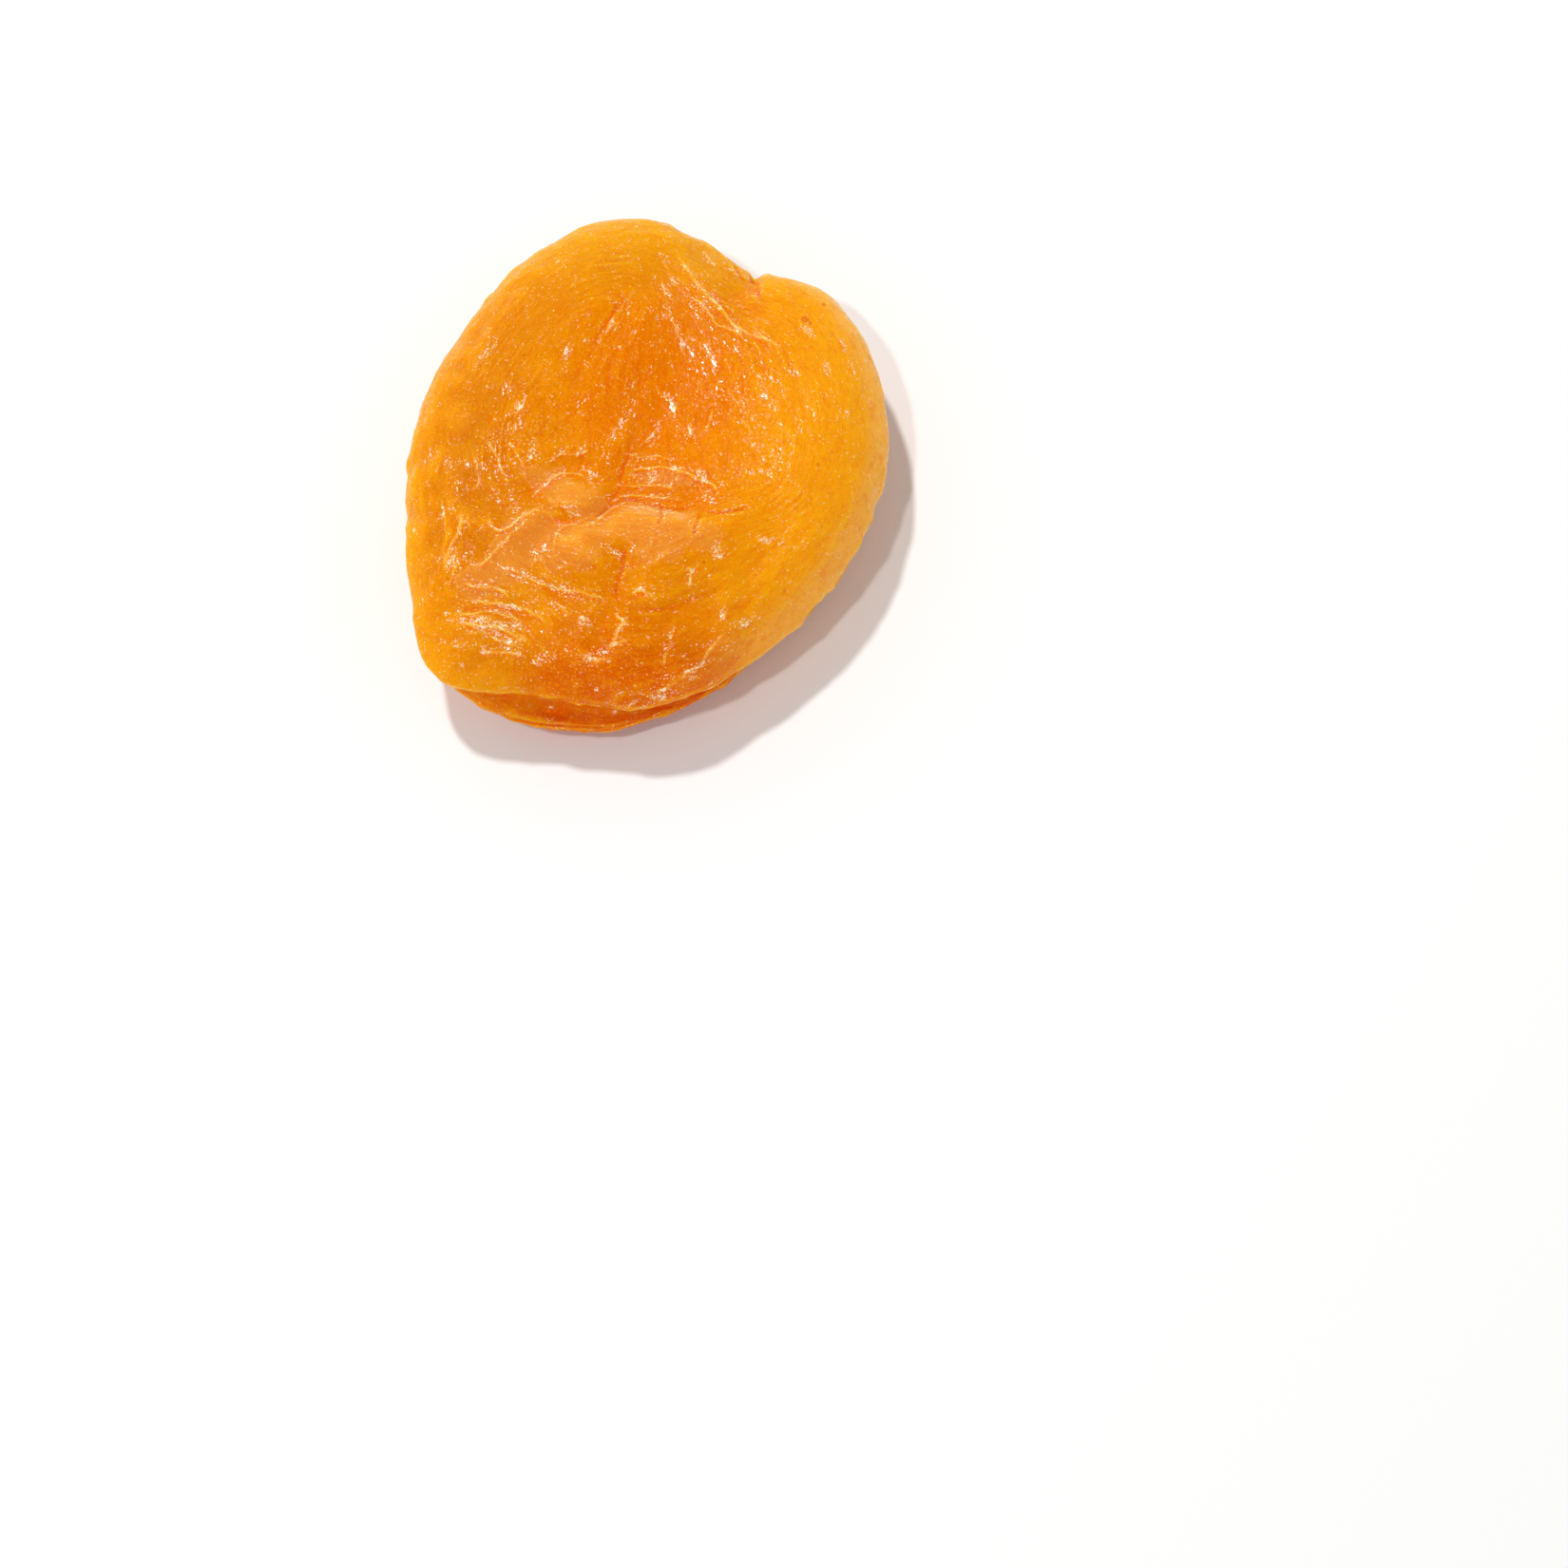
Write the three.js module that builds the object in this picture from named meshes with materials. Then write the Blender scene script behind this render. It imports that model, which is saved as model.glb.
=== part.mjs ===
// A whole dried apricot with its stone taken out: a soft disc about as thick as a finger.
// Drying has drawn the flesh in, so the upper face sags in the middle, the skin lies in lobes
// and wrinkles, and the groove of the fruit's seam runs round the rim, open at the front where
// the stone was pushed out. The under face is drawn in round the stem's dimple and has settled
// flat where the fruit lies. It is all one piece of flesh and skin.
// Millimetres, +Z up. +Y points to the end that lies furthest from the seam's opening.
import * as THREE from "three";
import { ImprovedNoise } from "three/addons/math/ImprovedNoise.js";
import { mergeVertices } from "three/addons/utils/BufferGeometryUtils.js";

// Driving dimensions.
const THICKNESS = 11.2; // at the thickest part of the rim
const UPPER_SHARE = 0.53; // of the thickness that lies above the seam
const SETTLED = 0.95; // how far the under face is pressed flat
const SOFT = 0.3; // the height over which the flat part's edge rounds off
const SIDE_FULLNESS = 4.4; // exponent of the pillow's cross-section
const WARP = 0.55; // how far the rim rises and falls on its way round
const SEAM_DEPTH = 0.3; // of the groove all round the rim
const SEAM_OPENING = 1.75; // how much deeper the groove is at the front
const FACE_CELLS = 38; // mesh cells across a face
const RIM_CELLS = 18; // mesh cells from the upper face to the under one

// The outline seen from above: direction in degrees from +X, then how far the upper half and
// the under half reach from the middle in that direction.
const OUTLINE = [
  [0, 18.9, 18.4],
  [18, 19.9, 19.2],
  [41, 20.9, 20.3],
  [55, 20.1, 19.6],
  [64, 19.0, 18.6],
  [77, 20.5, 20.0],
  [90, 22.2, 21.8],
  [103, 22.3, 22.0],
  [120, 20.9, 20.6],
  [137, 19.3, 19.0],
  [157, 18.8, 18.4],
  [177, 18.8, 18.4],
  [196, 19.6, 19.2],
  [212, 21.6, 21.2],
  [220, 23.3, 22.5],
  [228, 24.3, 23.2],
  [236, 22.9, 23.3],
  [244, 21.5, 22.9],
  [256, 20.9, 21.9],
  [270, 20.5, 20.4],
  [285, 19.2, 18.8],
  [300, 18.2, 17.1],
  [318, 17.8, 16.8],
  [336, 18.0, 17.2],
];

const noise = new ImprovedNoise();
const radians = THREE.MathUtils.degToRad;
const ease = THREE.MathUtils.smoothstep;
const bell = (distance, width) => Math.exp(-((distance / width) ** 2));

// A column of the outline joined by a smooth closed curve and read back as a reach at an angle.
function outlineReach(column) {
  const places = OUTLINE.map((row) => {
    const angle = radians(row[0]);
    return new THREE.Vector3(row[column] * Math.cos(angle), row[column] * Math.sin(angle), 0);
  });
  const rim = new THREE.CatmullRomCurve3(places, true, "centripetal")
    .getPoints(720)
    .map((p) => ({ angle: Math.atan2(p.y, p.x), reach: Math.hypot(p.x, p.y) }))
    .sort((p, q) => p.angle - q.angle);
  return (angle) => {
    const next = rim.findIndex((p) => p.angle > angle);
    const after = next < 0 ? { ...rim[0], angle: rim[0].angle + 2 * Math.PI } : rim[next];
    const before = next > 0 ? rim[next - 1] : rim.at(-1);
    const from = before.angle > after.angle ? before.angle - 2 * Math.PI : before.angle;
    return THREE.MathUtils.mapLinear(angle, from, after.angle, before.reach, after.reach);
  };
}

const upperReach = outlineReach(1);
const underReach = outlineReach(2);

// A fold in the skin: a smooth line through a few points of a face. It gives the distance
// to the line, the side of it, 1 on its right and -1 on its left, and how far along it.
function foldLine(points) {
  const curve = new THREE.CatmullRomCurve3(points.map(([x, y]) => new THREE.Vector3(x, y, 0)));
  const steps = curve.getPoints(8 * points.length);
  return (x, y) => {
    let best = { distance: Infinity, side: 1, along: 0 };
    for (let i = 1; i < steps.length; i++) {
      const a = steps[i - 1];
      const run = { x: steps[i].x - a.x, y: steps[i].y - a.y };
      const reached = ((x - a.x) * run.x + (y - a.y) * run.y) / (run.x ** 2 + run.y ** 2);
      const t = THREE.MathUtils.clamp(reached, 0, 1);
      const away = { x: x - a.x - t * run.x, y: y - a.y - t * run.y };
      const distance = Math.hypot(away.x, away.y);
      if (distance < best.distance) {
        const side = run.x * away.y - run.y * away.x > 0 ? -1 : 1;
        best = { distance, side, along: (i - 1 + t) / (steps.length - 1) };
      }
    }
    return best;
  };
}

// Dies away towards both ends of a fold.
const taper = (along) => ease(along, 0, 0.18) * ease(1 - along, 0, 0.18);

// A furrow of a depth and half width, or a ridge of a height and half width.
function furrow(points, depth, width) {
  const line = foldLine(points);
  return (x, y) => {
    const { distance, along } = line(x, y);
    return -depth * bell(distance, width) * taper(along);
  };
}
const ridge = (points, height, width) => furrow(points, -height, width);

// A lobe whose edge lies over its neighbour: raised on the line's right, creased at its foot.
const LAP = 0.75; // half the width of the slope at such an edge
function overlap(points, height, reach) {
  const line = foldLine(points);
  return (x, y) => {
    const { distance, side, along } = line(x, y);
    const offset = side * distance;
    const raised = ease(offset, -LAP, LAP) * Math.exp(-Math.max(0, offset) / reach);
    const tucked = 0.4 * bell(offset + LAP, LAP);
    return height * (raised - tucked) * taper(along);
  };
}

// A rounded swelling, or a hollow of the same form.
const swelling = (x0, y0, height, rx, ry) => (x, y) =>
  height * Math.exp(-(((x - x0) / rx) ** 2) - ((y - y0) / ry) ** 2);
const hollow = (x0, y0, depth, rx, ry) => swelling(x0, y0, -depth, rx, ry);

// The edge of the lobe across the middle, from left to right, and the crease that comes down to it.
const LOBE_EDGE = [
  [-7.1, -10.2],
  [-6.6, -8.0],
  [-5.0, -7.2],
  [-3.4, -6.6],
  [-1.8, -5.4],
  [1.2, -5.8],
  [4.6, -6.0],
  [8.4, -5.4],
];
const DEEP_CREASE = [
  [-0.7, 2.4],
  [-1.3, -0.6],
  [-1.8, -2.6],
  [-2.4, -4.6],
  [-3.2, -6.0],
  [-4.8, -7.0],
];

// What the upper face shows, from the far end to the front.
const UPPER_FOLDS = [
  // the middle, sunk where the stone was, and two valleys that come down to it
  hollow(1.6, 3.0, 1.0, 7.6, 7.8),
  furrow([[1.2, 19.5], [1.6, 14.6], [2.4, 10.8], [3.0, 7.4], [3.2, 3.6]], 0.38, 2.0),
  furrow([[-0.4, 16.2], [-1.8, 12.8], [-3.4, 9.8], [-5.6, 5.2]], 0.25, 1.5),
  // the long fold from the far end, the hollow behind it and the nick in the rim
  ridge([[2.0, 18.6], [3.4, 15.8], [4.9, 13.2], [7.1, 10.2], [9.4, 8.9], [12.0, 7.5]], 0.3, 0.9),
  furrow([[2.6, 15.0], [4.1, 12.2], [6.1, 9.7], [8.8, 7.9], [11.4, 6.3]], 0.14, 1.0),
  hollow(7.3, 14.4, 0.5, 2.0, 3.0),
  furrow([[9.6, 18.6], [8.7, 15.8], [8.5, 13.4], [9.8, 11.0]], 0.5, 1.1),
  furrow([[4.2, 20.4], [4.7, 18.0], [5.6, 16.0]], 0.35, 1.0),
  // fine folds stacked in the sunken part, and the deep crease at their left
  furrow([[-1.6, 0.2], [0.6, -0.2], [3.2, 0.4], [5.2, 1.4]], 0.25, 0.9),
  furrow([[-1.7, -3.1], [0.7, -3.0], [3.0, -3.4], [5.4, -4.0]], 0.28, 0.8),
  furrow(DEEP_CREASE, 0.4, 0.9),
  // the lobe across the middle, whose edge lies over the sunken part
  overlap(LOBE_EDGE, 1.0, 4.6),
  swelling(1.4, -8.2, 0.4, 4.2, 2.0),
  // the knob at its end, with the arch over it and the ridge that runs on from the arch
  swelling(-5.1, -4.8, 0.8, 2.1, 1.8),
  furrow([[-9.0, -5.6], [-7.9, -3.4], [-6.2, -2.0], [-4.4, -2.1], [-3.0, -3.2]], 0.45, 0.9),
  ridge([[-12.1, -5.4], [-11.6, -7.1], [-10.3, -7.4], [-9.0, -6.3], [-7.4, -5.1]], 0.4, 0.9),
  ridge([[-13.2, -10.8], [-11.6, -9.3], [-10.3, -7.9]], 0.3, 0.9),
  hollow(-10.3, -4.9, 0.35, 1.8, 1.6),
  // the furrow below the lobe, the cells on both sides of it and the forked fold at its end
  furrow([[-1.3, -8.0], [-1.6, -10.2], [-2.1, -11.6], [-2.0, -13.4]], 0.5, 0.9),
  swelling(-5.4, -9.8, 0.4, 3.0, 2.0),
  swelling(0.4, -11.8, 0.3, 1.8, 1.6),
  furrow([[-2.2, -13.4], [0.8, -14.1], [3.0, -13.2], [6.0, -12.2]], 0.5, 0.95),
  ridge([[-2.5, -13.4], [-1.6, -14.6], [-2.1, -15.7], [-3.2, -17.2]], 0.35, 0.9),
  furrow([[-3.6, -13.4], [-3.0, -14.9], [-3.9, -16.6]], 0.4, 0.9),
  swelling(0.2, -15.8, 0.5, 1.7, 1.9),
  // pleats that run out to the front rim
  furrow([[0.1, -18.6], [0.7, -16.6], [1.5, -14.6]], 0.35, 1.0),
  furrow([[2.4, -17.4], [4.2, -15.4], [5.8, -13.0]], 0.3, 1.1),
  ridge([[1.0, -19.4], [3.4, -18.0], [5.4, -16.0], [7.0, -13.6]], 0.25, 1.0),
  furrow([[6.8, -16.0], [7.9, -13.6], [9.4, -11.6]], 0.15, 1.0),
  // the bundle of long wrinkles at the front left
  furrow([[-14.6, -11.0], [-11.8, -11.0], [-9.4, -11.6], [-6.6, -12.9], [-3.4, -13.3]], 0.35, 0.8),
  furrow([[-14.6, -12.0], [-12.0, -12.3], [-9.8, -12.8], [-7.6, -14.0]], 0.4, 0.75),
  furrow([[-14.8, -13.3], [-12.2, -13.3], [-9.8, -13.9], [-7.6, -15.6]], 0.42, 0.75),
  furrow([[-14.8, -14.9], [-12.2, -15.1], [-9.8, -16.0], [-8.0, -17.6]], 0.38, 0.8),
  furrow([[-14.0, -16.6], [-11.4, -16.8], [-8.8, -18.0]], 0.35, 0.85),
  // wrinkles that follow the left rim
  furrow([[-13.8, 3.4], [-13.5, -0.8], [-13.4, -4.0], [-13.1, -6.6]], 0.25, 1.0),
  furrow([[-11.7, 2.4], [-11.6, -1.2], [-9.9, -3.6]], 0.22, 0.9),
  ridge([[-14.0, -4.8], [-14.0, -6.8], [-14.8, -8.8], [-15.2, -11.4]], 0.28, 0.9),
  furrow([[-16.6, -1.4], [-16.4, -6.0], [-16.6, -10.6]], 0.2, 0.95),
  // the plump right side
  swelling(13.2, 1.0, 0.45, 4.2, 9.0),
];

// The under face: the stem's dimple with its pleats, and creases that run in to it.
const STEM = { x: 0.6, y: 2.4, depth: 3.0, mouth: 2.7 };
const DRAWN_IN = { depth: 1.1, reach: 6.4 }; // the flesh round the dimple
const PLEATS = 11;
const UNDER_FOLDS = [
  (x, y) => {
    const radius = Math.hypot(x - STEM.x, (y - STEM.y) * 1.15);
    return -STEM.depth * bell(radius, STEM.mouth) - DRAWN_IN.depth * bell(radius, DRAWN_IN.reach);
  },
  (x, y) => {
    const radius = Math.hypot(x - STEM.x, y - STEM.y);
    const angle = Math.atan2(y - STEM.y, x - STEM.x);
    const wave = Math.cos(PLEATS * angle + 3.2 * noise.noise(x / 7, y / 7, 4.2));
    return 0.34 * wave * ease(radius, 3.8, 6.5) * (1 - ease(radius, 8, 15));
  },
  furrow([[STEM.x, STEM.y], [1.4, -5], [-0.8, -12], [-0.4, -20]], 0.8, 1.8),
  furrow([[-14, 6], [-9, 9.4], [-3.6, 12.6]], 0.5, 1.3),
  furrow([[8, -4], [11.4, 0.6], [12.6, 6.4]], 0.2, 1.2),
  furrow([[-13.6, -9.4], [-9.2, -10.4], [-5, -14.4]], 0.45, 1.1),
];

const relief = (folds, x, y) => folds.reduce((sum, fold) => sum + fold(x, y), 0);

// Wrinkles that no fold above names: soft dimples, and ridges drawn out along the rim.
function wrinkles(x, y, z, radius) {
  const dx = 1.3 * noise.noise(x / 6.5, y / 6.5, 7.1);
  const dy = 1.3 * noise.noise(x / 6.5, y / 6.5, 19.4);
  const dimples = noise.noise(x / 3.6 + dx, y / 3.6 + dy, z / 3.6);
  const lines = noise.noise(x / 6 + dx, y / 6 + dy, (radius + z) / 1.9);
  const front = ease(-y, -6, 12); // the front half is the more crumpled one
  const outer = ease(radius, 6, 15);
  const drawnOut = 0.06 + outer * (0.08 + 0.1 * front);
  return (0.14 + 0.14 * front) * dimples + drawnOut * (1 - 2.4 * Math.abs(lines));
}

// The seam: a groove all round the rim, deepest where it opens at the front.
function seam(angle, rise) {
  const turned = angle - radians(268);
  const opening = bell(Math.atan2(Math.sin(turned), Math.cos(turned)), 0.95);
  const wander = 0.05 * noise.noise(2.2 * Math.cos(angle), 2.2 * Math.sin(angle), 3.3);
  return (SEAM_DEPTH + SEAM_OPENING * opening) * bell(rise - wander, 0.105 + 0.03 * opening);
}

// The place on the fruit for a direction from its middle.
function skinAt(direction) {
  const flat = Math.hypot(direction.x, direction.y);
  const angle = flat > 1e-9 ? Math.atan2(direction.y, direction.x) : 0;
  const toUpper = ease(direction.z, -0.12, 0.12);
  const outline = THREE.MathUtils.lerp(underReach(angle), upperReach(angle), toUpper);
  const upper = direction.z >= 0;
  const half = THICKNESS * (upper ? UPPER_SHARE : 1 - UPPER_SHARE);
  const plump = 1 + 0.07 * Math.cos(angle - radians(225)) + 0.05 * Math.cos(2 * angle + 0.6);
  const tall = half * plump * Math.sqrt(Math.max(0, 1 - flat ** SIDE_FULLNESS));
  const rise = upper ? tall : -tall;
  const x = outline * flat * Math.cos(angle);
  const y = outline * flat * Math.sin(angle);
  const z = rise + WARP * Math.cos(2 * angle - 1.1) * flat ** 2;

  // how the surface faces there, from the pillow's own cross-section
  const out = (SIDE_FULLNESS * flat ** (SIDE_FULLNESS - 1)) / outline;
  const up = (2 * rise) / half ** 2;
  const facing = new THREE.Vector3(out * Math.cos(angle), out * Math.sin(angle), up).normalize();

  const folds = relief(upper ? UPPER_FOLDS : UNDER_FOLDS, x, y) * ease(Math.abs(rise), 0.6, 3.6);
  const place = new THREE.Vector3(x, y, z);
  place.addScaledVector(facing, folds + wrinkles(x, y, z, outline * flat));
  const drawnIn = seam(angle, direction.z);
  place.x -= drawnIn * Math.cos(angle);
  place.y -= drawnIn * Math.sin(angle);
  return place;
}

// The body: a box's grid of cells turned into evenly spread directions, each taken to the skin.
function fruitBody() {
  const box = new THREE.BoxGeometry(2, 2, 2, FACE_CELLS, FACE_CELLS, RIM_CELLS);
  box.deleteAttribute("normal");
  box.deleteAttribute("uv");
  const body = mergeVertices(box, 1e-4);
  const spots = body.getAttribute("position");
  const even = (t) => Math.tan((t * Math.PI) / 4);
  const spot = new THREE.Vector3();
  for (let i = 0; i < spots.count; i++) {
    spot.fromBufferAttribute(spots, i);
    spot.set(even(spot.x), even(spot.y), even(spot.z)).normalize();
    const place = skinAt(spot);
    spots.setXYZ(i, place.x, place.y, place.z);
  }

  // the under face settles: whatever lies lowest is pressed to one level, with a soft edge
  body.computeBoundingBox();
  const table = body.boundingBox.min.z + SETTLED;
  for (let i = 0; i < spots.count; i++) {
    const above = THREE.MathUtils.clamp(spots.getZ(i) - table, -SOFT, SOFT);
    const pressed = table + (above + SOFT) ** 2 / (4 * SOFT);
    spots.setZ(i, above < SOFT ? pressed : spots.getZ(i));
  }
  body.computeBoundingBox();
  const { min, max } = body.boundingBox;
  body.translate(-(min.x + max.x) / 2, -(min.y + max.y) / 2, -min.z);
  body.computeVertexNormals();
  return body;
}

const flesh = new THREE.MeshStandardMaterial({
  name: "dried apricot",
  color: 0xf0981c,
  roughness: 0.42,
  metalness: 0,
});

const apricot = new THREE.Mesh(fruitBody(), flesh);
apricot.name = "apricot";

const fruit = new THREE.Group();
fruit.add(apricot);

export default fruit;
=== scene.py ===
import math

import bpy
import numpy as np
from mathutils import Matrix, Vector, noise


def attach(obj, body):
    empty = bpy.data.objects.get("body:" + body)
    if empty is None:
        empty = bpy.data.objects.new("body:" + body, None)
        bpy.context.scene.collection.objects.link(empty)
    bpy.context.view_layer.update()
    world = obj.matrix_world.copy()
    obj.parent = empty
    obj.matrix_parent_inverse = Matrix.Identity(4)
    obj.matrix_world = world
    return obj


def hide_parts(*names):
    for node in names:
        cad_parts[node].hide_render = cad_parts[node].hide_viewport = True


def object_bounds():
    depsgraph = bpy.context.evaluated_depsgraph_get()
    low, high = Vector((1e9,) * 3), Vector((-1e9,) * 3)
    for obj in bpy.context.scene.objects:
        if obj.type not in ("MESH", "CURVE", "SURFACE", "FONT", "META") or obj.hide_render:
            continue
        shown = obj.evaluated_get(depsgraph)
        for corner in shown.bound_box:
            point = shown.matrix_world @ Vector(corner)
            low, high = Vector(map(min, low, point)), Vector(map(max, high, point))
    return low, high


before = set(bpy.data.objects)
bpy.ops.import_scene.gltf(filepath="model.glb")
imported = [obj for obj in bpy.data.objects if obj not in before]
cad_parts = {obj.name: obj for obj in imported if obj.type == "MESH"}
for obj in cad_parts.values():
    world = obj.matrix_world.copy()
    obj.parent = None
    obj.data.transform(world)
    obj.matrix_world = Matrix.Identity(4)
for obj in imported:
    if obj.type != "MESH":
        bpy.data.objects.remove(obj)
cad_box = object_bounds()

# The camera: a long lens that looks steeply down from just in front of the fruit. The frame is
# square, and the fruit lies in its upper left part.
MM = 0.001
AIM = Vector((10.37, -24.68, 0)) * MM
CAMERA_AZIMUTH = math.radians(-0.614)
CAMERA_ELEVATION = math.radians(70.145)
CAMERA_DISTANCE = 337.9 * MM


def direction(azimuth, elevation):
    """The unit vector from the object towards a place at that azimuth and elevation."""
    flat = math.cos(elevation)
    return Vector((math.sin(azimuth) * flat, -math.cos(azimuth) * flat, math.sin(elevation)))


def facing(towards):
    """The rotation of a camera or light that looks against the given direction."""
    return towards.to_track_quat("Z", "Y").to_euler()


back = direction(CAMERA_AZIMUTH, CAMERA_ELEVATION)
bpy.ops.object.camera_add(location=AIM + CAMERA_DISTANCE * back, rotation=facing(back))
camera = bpy.context.object
camera.name = "camera"
camera.data.sensor_fit = "HORIZONTAL"
camera.data.sensor_width = 36
camera.data.lens = 100
camera.data.clip_start = 0.02
bpy.context.scene.camera = camera

# The light: two small lamps, high at the far left and at the front left, and the white of a room
# whose ceiling is darker than its walls.
KEY_FROM = direction(math.radians(215), math.radians(62))
FRONT_FROM = direction(math.radians(308), math.radians(67))
MIDDLE = (cad_box[0] + cad_box[1]) / 2
ROOM_WALLS = 0.95
ROOM_CEILING = 0.18


def soft_lamp(name, towards, distance, size, power):
    """A round lamp that points at the fruit's middle."""
    place = MIDDLE + distance * towards
    bpy.ops.object.light_add(type="AREA", location=place, rotation=facing(towards))
    lamp = bpy.context.object
    lamp.name = name
    lamp.data.shape = "DISK"
    lamp.data.size = size
    lamp.data.energy = power


soft_lamp("key_lamp", KEY_FROM, distance=0.8, size=0.06, power=3.45)
soft_lamp("front_lamp", FRONT_FROM, distance=0.8, size=0.05, power=1.4)


class Wire:
    """A node's output. Sums with it add Math nodes, and node adds a node of any other type."""

    def __init__(self, socket):
        self.socket = socket

    def node(self, kind, settings, inputs, output=0):
        """Adds a node: its settings first, then the value or link of each socket."""
        tree = self.socket.id_data
        made = tree.nodes.new(kind)
        for name, value in settings.items():
            setattr(made, name, value)
        for name, value in inputs.items():
            if isinstance(value, Wire):
                tree.links.new(value.socket, made.inputs[name])
            else:
                made.inputs[name].default_value = value
        return Wire(made.outputs[output])

    def math(self, operation, first, second):
        return self.node("ShaderNodeMath", {"operation": operation}, {0: first, 1: second})

    def __add__(self, other):
        return self.math("ADD", self, other)

    __radd__ = __add__

    def __mul__(self, other):
        return self.math("MULTIPLY", self, other)

    __rmul__ = __mul__

    def __sub__(self, other):
        return self.math("SUBTRACT", self, other)

    def __rsub__(self, other):
        return self.math("SUBTRACT", other, self)

    def between(self, low, high):
        """0 where the value is low, 1 where it is high, and smooth between."""
        values = {"Value": self, "From Min": low, "From Max": high}
        return self.node("ShaderNodeMapRange", {"interpolation_type": "SMOOTHSTEP"}, values)


room = bpy.data.worlds.new("room")
room.use_nodes = True
sky = Wire(room.node_tree.nodes.new("ShaderNodeTexCoord").outputs["Generated"])
upward = sky.node("ShaderNodeSeparateXYZ", {}, {"Vector": sky}, 2)
strength = ROOM_WALLS - (ROOM_WALLS - ROOM_CEILING) * upward.between(0.35, 0.85)
background = room.node_tree.nodes["Background"]
background.inputs["Color"].default_value = (1, 1, 1, 1)
room.node_tree.links.new(strength.socket, background.inputs["Strength"])
bpy.context.scene.world = room
bpy.context.scene.view_settings.view_transform = "Standard"

# The fruit: a whole apricot, pitted and dried, its flesh and skin in one piece. It follows the
# solid's form and gets the finer folds of the skin on top: thin ridges where the skin is pinched,
# creases between the lobes, and a close net of wrinkles that runs along the folds.
FACES_FINER = 2  # rounds of subdivision

bpy.ops.object.select_all(action="DESELECT")
fruit = bpy.data.objects.new("dried_apricot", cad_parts["apricot"].data.copy())
bpy.context.scene.collection.objects.link(fruit)
fruit.select_set(True)
bpy.context.view_layer.objects.active = fruit
bpy.ops.mesh.customdata_custom_splitnormals_clear()
bpy.ops.object.mode_set(mode="EDIT")
bpy.ops.mesh.select_all(action="SELECT")
bpy.ops.mesh.remove_doubles(threshold=0.001 * MM)
bpy.ops.mesh.tris_convert_to_quads(face_threshold=math.pi, shape_threshold=math.pi)
bpy.ops.object.mode_set(mode="OBJECT")
finer = fruit.modifiers.new("finer", "SUBSURF")
finer.levels = finer.render_levels = FACES_FINER
bpy.ops.object.modifier_apply(modifier=finer.name)


def ease(value, low, high):
    """0 below low, 1 above high, and a smooth step between."""
    t = np.clip((value - low) / (high - low), 0, 1)
    return t * t * (3 - 2 * t)


def places():
    """The fruit's points in millimetres, and the way that the skin faces at each."""
    count = len(fruit.data.vertices)
    spots = np.empty(count * 3)
    normals = np.empty(count * 3)
    fruit.data.vertices.foreach_get("co", spots)
    fruit.data.vertices.foreach_get("normal", normals)
    return spots.reshape(-1, 3) / MM, normals.reshape(-1, 3)


def move(spots):
    """Puts the fruit's points at new places, given in millimetres."""
    fruit.data.vertices.foreach_set("co", (spots * MM).ravel())
    fruit.data.update()


def perlin(x, y, z):
    """Smooth noise at many points at once."""
    return np.array([noise.noise(Vector(p)) for p in zip(x, y, z)])


def smooth_line(points, parts=6):
    """Points closely along a smooth line through the given ones."""
    p = np.array(points, float)
    p = np.vstack([2 * p[0] - p[1], p, 2 * p[-1] - p[-2]])
    t = np.linspace(0, 1, parts, endpoint=False)[:, None]
    line = []
    for a, b, c, d in zip(p, p[1:], p[2:], p[3:]):
        square = (2 * a - 5 * b + 4 * c - d) * t**2
        cube = (3 * b - a - 3 * c + d) * t**3
        line.append(0.5 * (2 * b + (c - a) * t + square + cube))
    return np.vstack(line + [p[-2][None]])


def nearest(line, x, y, reach):
    """For points within reach of a line: which, how far off it to its right, how far along."""
    low, high = line.min(0) - reach, line.max(0) + reach
    near = np.flatnonzero((x > low[0]) & (x < high[0]) & (y > low[1]) & (y < high[1]))
    best = np.full(len(near), np.inf)
    side = np.ones(len(near))
    along = np.zeros(len(near))
    for i, (a, b) in enumerate(zip(line, line[1:])):
        run = b - a
        dx, dy = x[near] - a[0], y[near] - a[1]
        t = np.clip((dx * run[0] + dy * run[1]) / (run @ run), 0, 1)
        ox, oy = dx - t * run[0], dy - t * run[1]
        distance = np.hypot(ox, oy)
        closer = distance < best
        best[closer] = distance[closer]
        side[closer] = np.where(run[0] * oy - run[1] * ox > 0, -1, 1)[closer]
        along[closer] = ((i + t) / (len(line) - 1))[closer]
    return near, best * side, along


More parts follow.
